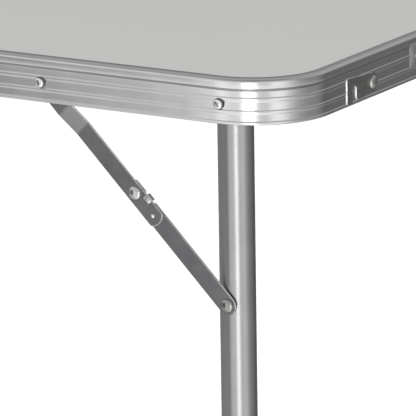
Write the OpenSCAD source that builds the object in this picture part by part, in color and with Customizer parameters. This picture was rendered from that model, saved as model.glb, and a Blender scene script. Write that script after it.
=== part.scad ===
// Folding two-leaf table with an aluminium rim, tube legs and flat-steel folding stays. Millimetres.
// Origin at the middle of the floor, +X along the long side, +Z up. Leaf A is at +X, leaf B is leaf A turned half round.

/* [Overall] */
// Length of one leaf, from the fold to the end face
leaf_len = 600; // [480:5:720]
// Width of the table
width = 600; // [480:5:760]
// Height of the top above the floor
height = 700; // [620:5:760]
// Outer radius of the rim corners
corner_r = 56; // [40:1:70]

/* [Rim and board] */
// Height of the rim
rim_h = 31.6; // [31:0.1:42]
// Width of the lip over the board
lip_w = 8; // [5:0.5:14]
// Thickness of the board
board_t = 3; // [2:0.1:3.6]

/* [Legs] */
// Distance of the leg pivot from the end face
leg_inset = 53.2; // [46:0.2:70]
// Depth of the leg axis from the outer side face
leg_depth = 22.4; // [22.4:0.1:40]
// Outer diameter of the outer leg tube
leg_d = 25; // [23:0.1:25]
// Wall of the outer leg tube and of the crossbar
tube_wall = 1.2; // [1:0.1:1.5]
// Gap between the outer leg tube and the inner tube
slide_gap = 1.3; // [0.8:0.1:1.8]
// Wall of the inner tube
inner_wall = 1; // [0.8:0.1:1.4]
// Outer diameter of the cross tube
cross_d = 22; // [20:0.5:22]
// Wall of the cross tube
cross_wall = 1.5; // [1.2:0.1:2]
// Height of the foot cap
foot_h = 16; // [12:1:24]
// Height of the lower end of the outer leg tube
outer_end = 203; // [190:1:245]
// Travel of the inner tube when the leg is put away
retract = 155; // [120:1:165]
// Outer diameter of the lower crossbar
crossbar_d = 19; // [12:0.5:23]
// Distance of the lower crossbar below the leg pivot
crossbar_drop = 423; // [340:1:445]

/* [Folding stays] */
// Distance of both stay anchors from the leg pivot
stay_reach = 142.6; // [115:0.2:172]
// Width of the upper link
link_w = 12.6; // [10:0.2:13]
// Width of the lower link
lower_w = 13; // [10:0.2:13.4]

/* [Latch and handle] */
// Distance of the hook pivot from the middle of the end
hook_y = 184.6; // [150:0.2:215]
// Distance from the hook pivot to its tip
hook_len = 38.1; // [34:0.1:50]
// Gap between the hook plate and the end face
hook_gap = 0.5; // [0.4:0.1:1.4]
// Distance between the handle arms
handle_w = 216; // [170:1:250]
// Drop of the handle grip
handle_drop = 46; // [36:1:60]
// Distance of each hinge from the middle of the fold
hinge_y = 150; // [110:1:190]

/* [Hidden] */
$fn = 64;
sqh = sqrt(0.5);
side = width / 2;
gap = 0.15;
board_top = height - 1.2;
board_low = board_top - board_t;
rim_low = height - rim_h;
ledge_low = board_low - 1.2;
pivot_x = leaf_len - leg_inset;
pivot_z = height - 17.6;
leg_r = leg_d / 2;
inner_r = leg_r - tube_wall - slide_gap;
bush_r = leg_r - tube_wall - 0.06;
leg_y = side - leg_depth;
cross_r = cross_d / 2;
plug_r = cross_r - cross_wall;
anchor_x = pivot_x - stay_reach;
anchor_z = pivot_z - stay_reach;
link_l = stay_reach * sqh;
hook_z = height - 20.2;
axis_z = rim_low - 2.85;
stud_z = 2 * axis_z + 26.4 - hook_z;
hook_x = leaf_len + hook_gap;
ear_n = max(link_w, lower_w) / 2 + 0.2;
grip_z = 686 + height - 700;
grip_x = leaf_len + 7;
leg_top = pivot_z;
wall_r = corner_r - 1.8;
end_dx = max(0, pivot_x + cross_r - leaf_len + corner_r);
boss_dx = max(0, pivot_x + 5 - leaf_len + corner_r);
end_d = corner_r - sqrt(wall_r * wall_r - end_dx * end_dx) + 0.4;
boss_d = corner_r - sqrt(wall_r * wall_r - boss_dx * boss_dx) + 0.4;
tube_d = end_d + 0.5;

// ---- helpers ----

// Leaf B is leaf A turned half round.
module turned() {
    rotate([0, 0, 180]) children();
}

// The rear side of a leaf mirrors its front side.
module rear() {
    mirror([0, 1, 0]) children();
}

module both_sides() {
    children();
    rear() children();
}

// Puts a piece drawn along +Z onto the front side, with z = -depth from the outer face.
module on_side(x, z) {
    translate([x, -side, z]) rotate([90, 0, 0]) children();
}

// The same, turned along the line from the rim anchor to the leg anchor.
module on_stay() {
    translate([anchor_x, -side, pivot_z]) rotate([90, 45, 0]) children();
}

// Puts a piece drawn along +Z onto the end face at +X, with z = 0 at x.
module on_end(x, y, z) {
    translate([x, y, z]) rotate([0, 90, 0]) children();
}

// A round head, flat at z = 0, rising to h.
module dome(r, h) {
    ball = (r * r + h * h) / (2 * h);
    intersection() {
        translate([0, 0, h - ball]) sphere(ball);
        cylinder(r = r, h = h);
    }
}

module ring(outer, inner, h) {
    difference() {
        cylinder(r = outer, h = h);
        translate([0, 0, -1]) cylinder(r = inner, h = h + 2);
    }
}

// ---- table top ----

// Rim section: x is the depth from the outer face, y is the height.
module rim_section() {
    translate([0, height]) polygon([
        [lip_w, 0], [2.4, -0.35], [1.2, -0.8], [0.4, -1.7], [0, -3], [0, -6.5], [0.8, -6.8], [0.8, -7.5],
        [0.5, -7.8], [0.5, -12.8], [0.15, -13.2], [0, -13.7], [0, -14.6], [0.15, -15.1], [0.5, -15.5],
        [0.5, -21.6], [0.15, -22], [0, -22.4], [0, -23.2], [0.15, -23.6], [0.5, -24], [0.5, 2.6 - rim_h],
        [0.15, 2.2 - rim_h], [0, 1.6 - rim_h], [0, 0.8 - rim_h], [0.3, 0.2 - rim_h], [0.9, -rim_h],
        [1.6, -rim_h], [2.1, 0.3 - rim_h], [2.2, 0.8 - rim_h], [2.2, 1.9 - rim_h], [1.8, 2.3 - rim_h],
        [1.8, ledge_low - height], [lip_w - 1, ledge_low - height], [lip_w - 1, board_low - height],
        [2, board_low - height], [2, -1.2], [lip_w, -1.2]
    ]);
}

module rail_section() {
    translate([0, height]) polygon([
        [lip_w, 0], [0.5, 0], [0, -0.5], [0, 0.5 - rim_h], [0.5, -rim_h], [12, -rim_h], [12, 1.4 - rim_h],
        [1.8, 1.4 - rim_h], [1.8, ledge_low - height], [lip_w - 1, ledge_low - height],
        [lip_w - 1, board_low - height], [2, board_low - height], [2, -1.2], [lip_w, -1.2]
    ]);
}

// Straight length of rim on the front side.
module rim_side() {
    translate([gap, -side, 0]) rotate([90, 0, 90]) linear_extrude(leaf_len - corner_r - gap)
        rim_section();
}

module rim_corner() {
    translate([leaf_len - corner_r, corner_r - side, 0]) rotate([0, 0, -90]) rotate_extrude(angle = 90)
        translate([corner_r, 0]) mirror([1, 0]) rim_section();
}

module rim_end() {
    translate([leaf_len, side - corner_r, 0]) rotate([90, 0, 0]) linear_extrude(width - 2 * corner_r)
        mirror([1, 0]) rim_section();
}

// Corner wedge that the mitre takes off the end of a side length.
module mitre_wedge() {
    translate([0, 0, rim_low - 1]) linear_extrude(rim_h + 2)
        polygon([[gap - 1, -side - 1], [gap - 1, 20 - side], [gap + 20, 20 - side], [gap - 1, -side - 1]]);
}

module rim() {
    color([0.78, 0.78, 0.77]) difference() {
        union() {
            both_sides() rim_side();
            both_sides() rim_corner();
            rim_end();
        }
        both_sides() mitre_wedge();
        both_sides() on_side(pivot_x, pivot_z) translate([0, 0, -4]) cylinder(r = 2.9, h = 6);
        both_sides() on_side(anchor_x, pivot_z) translate([0, 0, -4]) cylinder(r = 2.4, h = 6);
        on_end(leaf_len - 4, -hook_y, hook_z) cylinder(r = 2.5, h = 6);
        on_end(leaf_len - 4, hook_y, stud_z) cylinder(r = 2.4, h = 6);
    }
}

module centre_rail() {
    color([0.78, 0.78, 0.77]) intersection() {
        translate([gap, side, 0]) rotate([90, 0, 0]) linear_extrude(width) rail_section();
        translate([0, 0, rim_low - 1]) linear_extrude(rim_h + 2)
            polygon([[gap, -side], [gap + 20, 20 - side], [gap + 20, side - 20], [gap, side]]);
    }
}

module board() {
    far = leaf_len - 2;
    r = corner_r - 2;
    color([0.78, 0.78, 0.76]) translate([0, 0, board_low]) union() {
        translate([gap + 2, 2 - side, 0]) cube([far - r - gap - 2, width - 4, board_t]);
        translate([gap + 2, 2 - side + r, 0]) cube([far - gap - 2, width - 4 - 2 * r, board_t]);
        translate([far - r, 2 - side + r, 0]) cylinder(r = r, h = board_t);
        translate([far - r, side - 2 - r, 0]) cylinder(r = r, h = board_t);
    }
}

module cross_rib() {
    color([0.75, 0.75, 0.75]) translate([leaf_len / 2 - 10, -side + 50, board_low - 10]) difference() {
        cube([20, width - 100, 10]);
        translate([1.2, -1, 1.2]) cube([17.6, width - 98, 7.6]);
    }
}

// Pan head with a cross recess, on the outer face, and its shank.
module pan_screw(r, depth) {
    difference() {
        union() {
            dome(4, 2.3);
            translate([0, 0, -depth]) cylinder(r = r, h = depth + 0.5);
        }
        translate([-2.2, -0.4, 1.1]) cube([4.4, 0.8, 2]);
        translate([-0.4, -2.2, 1.1]) cube([0.8, 4.4, 2]);
    }
}

module pivot_screws() {
    color([0.8, 0.8, 0.8]) both_sides() on_side(pivot_x, pivot_z) pan_screw(2.9, 20);
}

module stay_screws() {
    color([0.8, 0.8, 0.8]) both_sides() on_side(anchor_x, pivot_z) union() {
        pan_screw(2.4, 5.1);
        translate([0, 0, -2.45]) cylinder(r = 5, h = 0.65);
        translate([0, 0, -5.1]) cylinder(r = 4.2, h = 0.85);
    }
}

// Butt hinge half: this leaf has the two outer knuckles, the other leaf the middle one.
module hinge_plates_a() {
    color([0.75, 0.75, 0.75]) for (s = [-1, 1]) translate([0, s * hinge_y, axis_z]) difference() {
        union() {
            translate([2.6, -30, 1.65]) cube([10.4, 60, 1.2]);
            translate([0.3, -30, 1.25]) cube([3, 19.8, 1.6]);
            translate([0.3, 10.2, 1.25]) cube([3, 19.8, 1.6]);
            translate([0, -10.2, 0]) rotate([90, 0, 0]) cylinder(r = 2.5, h = 19.8);
            translate([0, 30, 0]) rotate([90, 0, 0]) cylinder(r = 2.5, h = 19.8);
        }
        translate([0, 31, 0]) rotate([90, 0, 0]) cylinder(r = 1.2, h = 62);
    }
}

module hinge_plates_b() {
    color([0.75, 0.75, 0.75]) for (s = [-1, 1]) translate([0, s * hinge_y, axis_z]) difference() {
        union() {
            translate([-13, -30, 1.65]) cube([10.4, 60, 1.2]);
            translate([-3.3, -9.8, 1.25]) cube([3, 19.6, 1.6]);
            translate([0, 9.8, 0]) rotate([90, 0, 0]) cylinder(r = 2.5, h = 19.6);
        }
        translate([0, 31, 0]) rotate([90, 0, 0]) cylinder(r = 1.26, h = 62);
    }
}

module hinge_pins() {
    color([0.7, 0.7, 0.7]) for (s = [-1, 1]) translate([0, s * hinge_y + 30, axis_z]) rotate([90, 0, 0])
        cylinder(r = 1.2, h = 60);
}

// ---- latch ----

module hook_rivet() {
    color([0.8, 0.8, 0.8]) on_end(leaf_len, -hook_y, hook_z) union() {
        translate([0, 0, -3]) cylinder(r = 4, h = 1.2);
        translate([0, 0, -3]) cylinder(r = 2.5, h = hook_gap + 5);
        cylinder(r = 5, h = hook_gap - 0.2);
        translate([0, 0, hook_gap + 1.7]) dome(4.85, 2.2);
    }
}

module hook() {
    color([0.8, 0.8, 0.8]) difference() {
        union() {
            on_end(hook_x, -hook_y, hook_z) cylinder(r = 6.8, h = 1.5);
            translate([hook_x, -hook_y, hook_z]) rotate([90, 0, 90]) linear_extrude(1.5)
                polygon([[0, -6.8], [0, 6.8], [-hook_len, 9.3], [-hook_len, -9.3]]);
        }
        on_end(hook_x - 1, -hook_y, hook_z) cylinder(r = 2.55, h = 4);
        on_end(hook_x - 1, -hook_y - 26.4, hook_z) cylinder(r = 2.7, h = 4);
        translate([hook_x - 1, -hook_y - 29.1, hook_z - 12]) cube([4, 5.4, 12]);
    }
}

module latch_stud() {
    color([0.8, 0.8, 0.8]) on_end(leaf_len, hook_y, stud_z) union() {
        translate([0, 0, -3]) cylinder(r = 4, h = 1.2);
        translate([0, 0, -3]) cylinder(r = 2.4, h = hook_gap + 6);
        cylinder(r = 4.5, h = hook_gap - 0.2);
        translate([0, 0, hook_gap + 2.4]) cylinder(r = 4.5, h = 1.6);
    }
}

// ---- handle ----

module handle_brackets() {
    ear = handle_w / 2 + 5;
    color([0.8, 0.8, 0.8]) both_sides() difference() {
        union() {
            translate([leaf_len, -ear - 18, grip_z - 9]) cube([1.5, 30, 18]);
            translate([leaf_len, -ear - 3, grip_z - 7]) cube([7, 3, 14]);
            translate([grip_x, -ear, grip_z]) rotate([90, 0, 0]) cylinder(r = 7, h = 3);
        }
        translate([grip_x, 1 - ear, grip_z]) rotate([90, 0, 0]) cylinder(r = 3.06, h = 5);
    }
}

module handle() {
    arm = handle_w / 2;
    color([0.1, 0.1, 0.1]) translate([grip_x, 0, grip_z]) union() {
        both_sides() translate([0, -arm + 4, 0]) rotate([90, 0, 0]) cylinder(r = 3, h = 14);
        both_sides() translate([0, -arm + 4, 0]) rotate([90, 0, 0]) cylinder(r = 5, h = 6);
        both_sides() translate([0, -arm + 1, -handle_drop]) cylinder(r = 3, h = handle_drop);
        both_sides() translate([0, -arm + 1, -handle_drop]) sphere(5.5);
        translate([0, arm - 1, -handle_drop]) rotate([90, 0, 0]) cylinder(r = 5.5, h = 2 * arm - 2);
        translate([0, arm / 2, -handle_drop]) rotate([90, 0, 0]) cylinder(r = 6.4, h = arm);
    }
}

// ---- leg frame ----

module cross_tube() {
    color([0.82, 0.82, 0.82]) translate([pivot_x, side - tube_d, pivot_z]) rotate([90, 0, 0])
        ring(cross_r, plug_r, width - 2 * tube_d);
}

module tube_plugs() {
    color([0.1, 0.1, 0.1]) both_sides() on_side(pivot_x, pivot_z) difference() {
        union() {
            translate([0, 0, -tube_d]) cylinder(r = cross_r, h = 0.5);
            translate([0, 0, -tube_d]) cylinder(r = 5, h = tube_d - boss_d);
            translate([0, 0, -26]) cylinder(r = plug_r, h = 26.2 - tube_d);
        }
        translate([0, 0, -27]) cylinder(r = 2.96, h = 30);
    }
}

module leg_tubes() {
    color([0.82, 0.82, 0.82]) both_sides() difference() {
        translate([pivot_x, -leg_y, outer_end]) cylinder(r = leg_r, h = leg_top - outer_end);
        translate([pivot_x, -leg_y, outer_end - 1]) cylinder(r = leg_r - tube_wall, h = leg_top - outer_end + 2);
        translate([pivot_x, 0, pivot_z]) rotate([90, 0, 0]) cylinder(r = cross_r, h = width);
        on_side(pivot_x, anchor_z) translate([0, 0, -leg_depth]) cylinder(r = 2.5, h = leg_depth);
    }
}

module crossbar() {
    color([0.82, 0.82, 0.82]) difference() {
        translate([pivot_x, leg_y, pivot_z - crossbar_drop]) rotate([90, 0, 0])
            ring(crossbar_d / 2, crossbar_d / 2 - tube_wall, 2 * leg_y);
        both_sides() translate([pivot_x, -leg_y, outer_end]) cylinder(r = leg_r, h = 300);
    }
}

module stay_rivets() {
    color([0.8, 0.8, 0.8]) both_sides() on_side(pivot_x, anchor_z) union() {
        translate([0, 0, -7.25]) dome(4.85, 1.8);
        translate([0, 0, 2 - leg_depth]) cylinder(r = 2.5, h = leg_depth - 9);
        translate([0, 0, leg_r - 3.4 - leg_depth]) cylinder(r = 4, h = 1.3);
        difference() {
            translate([0, 0, leg_r - 3 - leg_depth]) cylinder(r = 4.5, h = leg_depth - leg_r - 6.05);
            translate([0, leg_r + 30, -leg_depth]) rotate([90, 0, 0]) cylinder(r = leg_r, h = 100);
        }
    }
}

module inner_tube() {
    color([0.82, 0.82, 0.82]) translate([pivot_x, -leg_y, 0]) difference() {
        union() {
            translate([0, 0, 5]) cylinder(r = inner_r, h = outer_end + 95);
            translate([0, 0, outer_end + 85]) cylinder(r = bush_r, h = 15);
        }
        translate([0, 0, 4]) cylinder(r = inner_r - inner_wall, h = outer_end + 110);
    }
}

module foot() {
    color([0.1, 0.1, 0.1]) translate([pivot_x, -leg_y, 0]) difference() {
        union() {
            cylinder(r = leg_r - 1.5, h = 1.2);
            translate([0, 0, 1.2]) cylinder(r = leg_r - 0.3, h = foot_h - 1.2);
        }
        translate([0, 0, 5]) cylinder(r = inner_r, h = foot_h);
    }
}

module collar() {
    color([0.1, 0.1, 0.1]) translate([pivot_x, -leg_y, outer_end]) difference() {
        union() {
            translate([0, 0, -30]) cylinder(r = leg_r, h = 29.7);
            translate([0, 0, -1]) cylinder(r = bush_r, h = 12);
        }
        translate([0, 0, -31]) cylinder(r = inner_r + 0.08, h = 50);
    }
}

// ---- folding stays ----

module upper_link() {
    w = link_w / 2;
    end_r = link_w * 0.675;
    tip = link_l + 27.2 - end_r;
    color([0.7, 0.7, 0.68]) on_stay() difference() {
        union() {
            translate([0, 0, -4.1]) cylinder(r = w, h = 1.5);
            translate([0, -w, -4.1]) cube([25, link_w, 1.5]);
            translate([0, w, 0]) rotate([90, 0, 0]) linear_extrude(link_w)
                polygon([[25, -2.6], [25, -4.1], [43, -7.1], [43, -5.6]]);
            translate([43, -w, -7.1]) cube([tip - 43, link_w, 1.5]);
            intersection() {
                translate([tip, 0, -7.1]) cylinder(r = end_r, h = 1.5);
                translate([tip - 1, -w, -7.1]) cube([end_r + 2, link_w, 1.5]);
            }
            translate([link_l + 6.5, w - 0.5, -7.1]) cube([6.5, ear_n - w + 1, 1.5]);
            translate([link_l + 6.5, ear_n, -9.3]) cube([6.5, 1.5, 3.7]);
            translate([link_l, 0, -5.6]) dome(4.85, 1.7);
            translate([link_l + 21.9, 0, -5.6]) dome(1.8, 0.5);
        }
        translate([0, 0, -5]) cylinder(r = 2.46, h = 4);
    }
}

module lower_link() {
    w = lower_w / 2;
    color([0.7, 0.7, 0.68]) on_stay() difference() {
        union() {
            translate([link_l - 6.4, -w, -8.9]) cube([link_l + 6.4, lower_w, 1.5]);
            translate([2 * link_l, 0, -8.9]) cylinder(r = w, h = 1.5);
            translate([link_l, 0, -9.5]) cylinder(r = 4.2, h = 1);
        }
        translate([2 * link_l, 0, -12]) cylinder(r = 2.56, h = 8);
    }
}

// ---- nodes ----

board();  // board_a
turned() board();  // board_b
rim();  // rim_a
turned() rim();  // rim_b
centre_rail();  // centre_rail_a
turned() centre_rail();  // centre_rail_b
cross_rib();  // cross_rib_a
turned() cross_rib();  // cross_rib_b
pivot_screws();  // pivot_screws_a
turned() pivot_screws();  // pivot_screws_b
stay_screws();  // stay_screws_a
turned() stay_screws();  // stay_screws_b
hinge_plates_a();
hinge_plates_b();
hinge_pins();
hook_rivet();  // hook_rivet_a
turned() hook_rivet();  // hook_rivet_b
hook();  // hook_a
turned() hook();  // hook_b
latch_stud();  // latch_stud_a
turned() latch_stud();  // latch_stud_b
handle_brackets();
handle();
cross_tube();  // cross_tube_a
turned() cross_tube();  // cross_tube_b
tube_plugs();  // tube_plugs_a
turned() tube_plugs();  // tube_plugs_b
leg_tubes();  // leg_tubes_a
turned() leg_tubes();  // leg_tubes_b
crossbar();  // crossbar_a
turned() crossbar();  // crossbar_b
stay_rivets();  // stay_rivets_a
turned() stay_rivets();  // stay_rivets_b
inner_tube();  // inner_tube_af
rear() inner_tube();  // inner_tube_ar
turned() rear() inner_tube();  // inner_tube_bf
turned() inner_tube();  // inner_tube_br
foot();  // foot_af
rear() foot();  // foot_ar
turned() rear() foot();  // foot_bf
turned() foot();  // foot_br
collar();  // collar_af
rear() collar();  // collar_ar
turned() rear() collar();  // collar_bf
turned() collar();  // collar_br
upper_link();  // upper_link_af
rear() upper_link();  // upper_link_ar
turned() rear() upper_link();  // upper_link_bf
turned() upper_link();  // upper_link_br
lower_link();  // lower_link_af
rear() lower_link();  // lower_link_ar
turned() rear() lower_link();  // lower_link_bf
turned() lower_link();  // lower_link_br
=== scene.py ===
import bpy
import bmesh
import math
from mathutils import Matrix, Vector

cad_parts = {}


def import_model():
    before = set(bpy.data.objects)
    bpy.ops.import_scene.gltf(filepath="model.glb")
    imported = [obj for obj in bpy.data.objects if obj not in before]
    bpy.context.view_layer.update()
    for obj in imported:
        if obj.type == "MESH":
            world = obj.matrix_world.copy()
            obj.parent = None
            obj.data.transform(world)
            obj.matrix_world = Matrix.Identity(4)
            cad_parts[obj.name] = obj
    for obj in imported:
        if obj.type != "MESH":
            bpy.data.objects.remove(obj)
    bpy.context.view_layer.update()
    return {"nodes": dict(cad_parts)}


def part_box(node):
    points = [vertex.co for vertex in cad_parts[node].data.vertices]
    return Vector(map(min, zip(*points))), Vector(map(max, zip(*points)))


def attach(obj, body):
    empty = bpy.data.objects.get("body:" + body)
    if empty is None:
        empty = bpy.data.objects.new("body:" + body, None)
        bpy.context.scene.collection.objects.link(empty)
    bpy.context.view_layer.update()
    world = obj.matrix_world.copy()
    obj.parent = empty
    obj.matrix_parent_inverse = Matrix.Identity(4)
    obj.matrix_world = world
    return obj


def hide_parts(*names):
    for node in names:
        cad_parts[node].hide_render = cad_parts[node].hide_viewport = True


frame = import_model()
nodes = frame["nodes"]
MM = 0.001
scene = bpy.context.scene

# ---------- sizes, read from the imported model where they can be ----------


def lo_hi(name):
    a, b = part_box(name)
    return [v / MM for v in a], [v / MM for v in b]


rim_lo, rim_hi = lo_hi("rim_a")
LEAF = rim_hi[0]
SIDE = rim_hi[1]
TOP = rim_hi[2]
RIM_H = TOP - rim_lo[2]
CORNER = 56.0  # outer radius of the rim corners
LIP = 8.0  # width of the lip over the board
board_lo, board_hi = lo_hi("board_a")
BOARD_T = board_hi[2] - board_lo[2]
GAP = 0.15  # from the fold line to each leaf
foot_lo, foot_hi = lo_hi("foot_af")
PIVOT_X = (foot_lo[0] + foot_hi[0]) / 2
LEG_Y = -(foot_lo[1] + foot_hi[1]) / 2
tube_lo, tube_hi = lo_hi("cross_tube_a")
plug_hi = lo_hi("tube_plugs_a")[1]
PIVOT_Z = (tube_lo[2] + tube_hi[2]) / 2
CROSS_R = (tube_hi[2] - tube_lo[2]) / 2
leg_lo, leg_hi = lo_hi("leg_tubes_a")
LEG_R = (leg_hi[0] - leg_lo[0]) / 2
OUTER_END = leg_lo[2]
bar_lo, bar_hi = lo_hi("crossbar_a")
BAR_Z = (bar_lo[2] + bar_hi[2]) / 2
BAR_R = (bar_hi[2] - bar_lo[2]) / 2
screw_lo, screw_hi = lo_hi("stay_screws_a")
ANCHOR_X = (screw_lo[0] + screw_hi[0]) / 2
REACH = PIVOT_X - ANCHOR_X
ANCHOR_Z = PIVOT_Z - REACH
LINK = REACH * math.sqrt(0.5)
UP_W = 13.1  # width of the upper link
LOW_W = 13.4  # width of the lower link
EAR = LOW_W / 2 + 0.2  # how far the ear stands from the links' middle line
STRIP_T = 1.5  # thickness of the links, the hook and the bracket plate
UP_LOW, UP_HIGH = 2.6, 5.6  # depth of the upper link's outer face, near its screw and past the joggle
LOW_DEPTH = 7.4  # depth of the lower link's outer face
RIVET_R = 4.85  # radius of the rivet heads
TUBE_WALL, CROSS_WALL = 1.2, 1.5
INNER_R, INNER_WALL = 10, 1
BEADS = ((14.1, 1.4), (22.8, 1.25))  # middle below the top and half width of the rim's beads
GROOVE = (6.6, 8.2)  # where the rim's groove begins and ends below the top
ORIGIN = (0, 0, 0)
UP = (0, 0, 1)
hook_lo = lo_hi("hook_a")[0]
rivet_lo, rivet_hi = lo_hi("hook_rivet_a")
HOOK_Y = -(rivet_lo[1] + rivet_hi[1]) / 2
HOOK_Z = (rivet_lo[2] + rivet_hi[2]) / 2
stud_lo, stud_hi = lo_hi("latch_stud_a")
STUD_Z = (stud_lo[2] + stud_hi[2]) / 2
inner_lo, inner_hi = lo_hi("inner_tube_af")
grip_lo = lo_hi("handle")[0]
br_lo, br_hi = lo_hi("handle_brackets")
GRIP_X = LEAF + 7
GRIP_Z = (br_lo[2] + br_hi[2]) / 2
GRIP_ARM = -br_lo[1] - 23
GRIP_DROP = GRIP_Z - grip_lo[2] - 6.4
FRONT_LEG = (PIVOT_X, -LEG_Y, 0)  # where the front leg's axis meets the ground

# ---------- materials ----------


class Nodes:
    """A material and short ways to add nodes to it."""

    def __init__(self, name, **sockets):
        self.mat = bpy.data.materials.new(name)
        self.mat.use_nodes = True
        self.tree = self.mat.node_tree
        self.bsdf = self.tree.nodes["Principled BSDF"]
        for key, value in sockets.items():
            self.bsdf.inputs[key.replace("_", " ")].default_value = value
        self.coord = self.tree.nodes.new("ShaderNodeTexCoord")
        self.base_normal = None

    def link(self, a, b):
        self.tree.links.new(a, b)

    def mapped(self, scale=(1, 1, 1), space="Object"):
        m = self.tree.nodes.new("ShaderNodeMapping")
        m.inputs["Scale"].default_value = scale
        self.link(self.coord.outputs[space], m.inputs["Vector"])
        return m.outputs["Vector"]

    def noise(self, vector, scale, detail=3.0, rough=0.55):
        n = self.tree.nodes.new("ShaderNodeTexNoise")
        n.inputs["Scale"].default_value = scale
        n.inputs["Detail"].default_value = detail
        n.inputs["Roughness"].default_value = rough
        self.link(vector, n.inputs["Vector"])
        return n.outputs["Fac"]

    def ramp(self, value, stops):
        r = self.tree.nodes.new("ShaderNodeValToRGB")
        els = r.color_ramp.elements
        while len(els) < len(stops):
            els.new(0.5)
        for e, (pos, col) in zip(els, stops):
            e.position = pos
            e.color = (col[0], col[1], col[2], 1) if isinstance(col, tuple) else (col, col, col, 1)
        self.link(value, r.inputs["Fac"])
        return r.outputs["Color"]

    def colour(self, out):
        self.link(out, self.bsdf.inputs["Base Color"])

    def rough(self, value, low, high):
        """Roughness between two levels, driven by a texture."""
        m = self.tree.nodes.new("ShaderNodeMapRange")
        m.inputs["To Min"].default_value = low
        m.inputs["To Max"].default_value = high
        self.link(value, m.inputs["Value"])
        self.link(m.outputs["Result"], self.bsdf.inputs["Roughness"])

    def lean(self, degrees):
        """Turns the shading normal round the upright."""
        geo = self.tree.nodes.new("ShaderNodeNewGeometry")
        rot = self.tree.nodes.new("ShaderNodeVectorRotate")
        rot.rotation_type = "Z_AXIS"
        rot.inputs["Angle"].default_value = math.radians(degrees)
        self.link(geo.outputs["Normal"], rot.inputs["Vector"])
        self.base_normal = rot.outputs["Vector"]

    def bump(self, *layers):
        """Stacks (height, depth in metres) layers on the normal."""
        last = None
        for height, dist in layers:
            b = self.tree.nodes.new("ShaderNodeBump")
            b.inputs["Strength"].default_value = 1.0
            b.inputs["Distance"].default_value = dist
            self.link(height, b.inputs["Height"])
            if last:
                self.link(last.outputs["Normal"], b.inputs["Normal"])
            elif self.base_normal:
                self.link(self.base_normal, b.inputs["Normal"])
            last = b
        self.link(last.outputs["Normal"], self.bsdf.inputs["Normal"])


def tint(rgb, k):
    return tuple(min(1.0, c * k) for c in rgb)


def board_material():
    n = Nodes("laminate", Roughness=0.42)
    n.bsdf.inputs["Specular IOR Level"].default_value = 0.35
    fine = n.noise(n.mapped(), 900, 4)
    broad = n.noise(n.mapped(), 9, 3)
    base = (0.39, 0.39, 0.381)
    n.colour(n.ramp(fine, [(0.3, tint(base, 0.97)), (0.7, tint(base, 1.03))]))
    n.rough(broad, 0.38, 0.48)
    n.bump((fine, 0.00001), (broad, 0.00004))
    return n.mat


def under_material():
    n = Nodes("laminate_underside", Roughness=0.5)
    grain = n.noise(n.mapped(), 260, 5)
    base = (0.36, 0.36, 0.35)
    n.colour(n.ramp(grain, [(0.25, tint(base, 0.93)), (0.75, tint(base, 1.05))]))
    n.rough(grain, 0.45, 0.6)
    n.bump((grain, 0.00003))
    return n.mat


def drawn_metal(name, base, low, high, stretch, turn=0):
    """Metal with fine draw lines: stretch is the scale across and along the surface.

    turn leans the shading round the upright by a few degrees, as a slightly flattened tube does.
    """
    n = Nodes(name, Metallic=1.0)
    if turn:
        n.lean(turn)
    lines = n.noise(n.mapped(stretch, "UV"), 1.0, 4, 0.6)
    cloud = n.noise(n.mapped(), 38, 4)
    n.colour(n.ramp(cloud, [(0.3, tint(base, 0.95)), (0.7, tint(base, 1.05))]))
    n.rough(lines, low, high)
    n.bump((lines, 0.000006), (cloud, 0.00001))
    return n.mat


def zinc_material(name, base, low, high):
    """Zinc-plated pressed steel: small crystals and a slightly uneven colour."""
    n = Nodes(name, Metallic=1.0)
    v = n.tree.nodes.new("ShaderNodeTexVoronoi")
    v.inputs["Scale"].default_value = 420
    n.link(n.coord.outputs["Object"], v.inputs["Vector"])
    cloud = n.noise(n.mapped(), 70, 5)
    warm = (base[0], base[1] * 0.995, base[2] * 0.98)
    n.colour(n.ramp(cloud, [(0.25, tint(base, 0.86)), (0.75, tint(warm, 1.12))]))
    n.rough(cloud, low, high)
    n.bump((v.outputs["Distance"], 0.000012), (cloud, 0.00002))
    return n.mat


def plastic_material(name, base, low, high):
    n = Nodes(name)
    grain = n.noise(n.mapped(), 1500, 3)
    cloud = n.noise(n.mapped(), 60, 3)
    n.colour(n.ramp(cloud, [(0.3, tint(base, 0.85)), (0.7, tint(base, 1.2))]))
    n.rough(cloud, low, high)
    n.bump((grain, 0.00003))
    return n.mat


M_BOARD = board_material()
M_UNDER = under_material()
M_RIM = drawn_metal("rim_aluminium", (0.76, 0.76, 0.755), 0.14, 0.2, (3, 5200, 1))
M_TUBE = drawn_metal("tube_aluminium", (0.47, 0.47, 0.466), 0.27, 0.35, (900, 6, 1), turn=-5.5)
M_ZINC = zinc_material("plated_steel", (0.238, 0.242, 0.25), 0.22, 0.32)
# Near-white metal for edges, edge lines, the dimple and bends: painted highlight where they catch the light.
M_GLINT = zinc_material("edge_glint", (0.93, 0.93, 0.92), 0.2, 0.3)
M_BRACKET = zinc_material("zinc_bracket", (0.6, 0.6, 0.59), 0.55, 0.62)
M_HOOK = zinc_material("zinc_hook", (0.5, 0.5, 0.49), 0.24, 0.34)
M_BRIGHT = zinc_material("bright_steel", (0.6, 0.6, 0.59), 0.05, 0.1)
# Lighter zinc for the joggle's slope: painted sheen where the slope faces the light.
M_SLOPE_SHEEN = zinc_material("slope_sheen_zinc", (0.3, 0.304, 0.31), 0.24, 0.34)
M_RIVET = zinc_material("rivet_steel", (0.36, 0.36, 0.358), 0.06, 0.11)
# Darker rim metal for the groove's faces: painted shade in the groove.
M_GROOVE_SHADE = drawn_metal("rim_groove_shade", (0.4, 0.4, 0.4), 0.3, 0.4, (3, 5200, 1))
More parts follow.
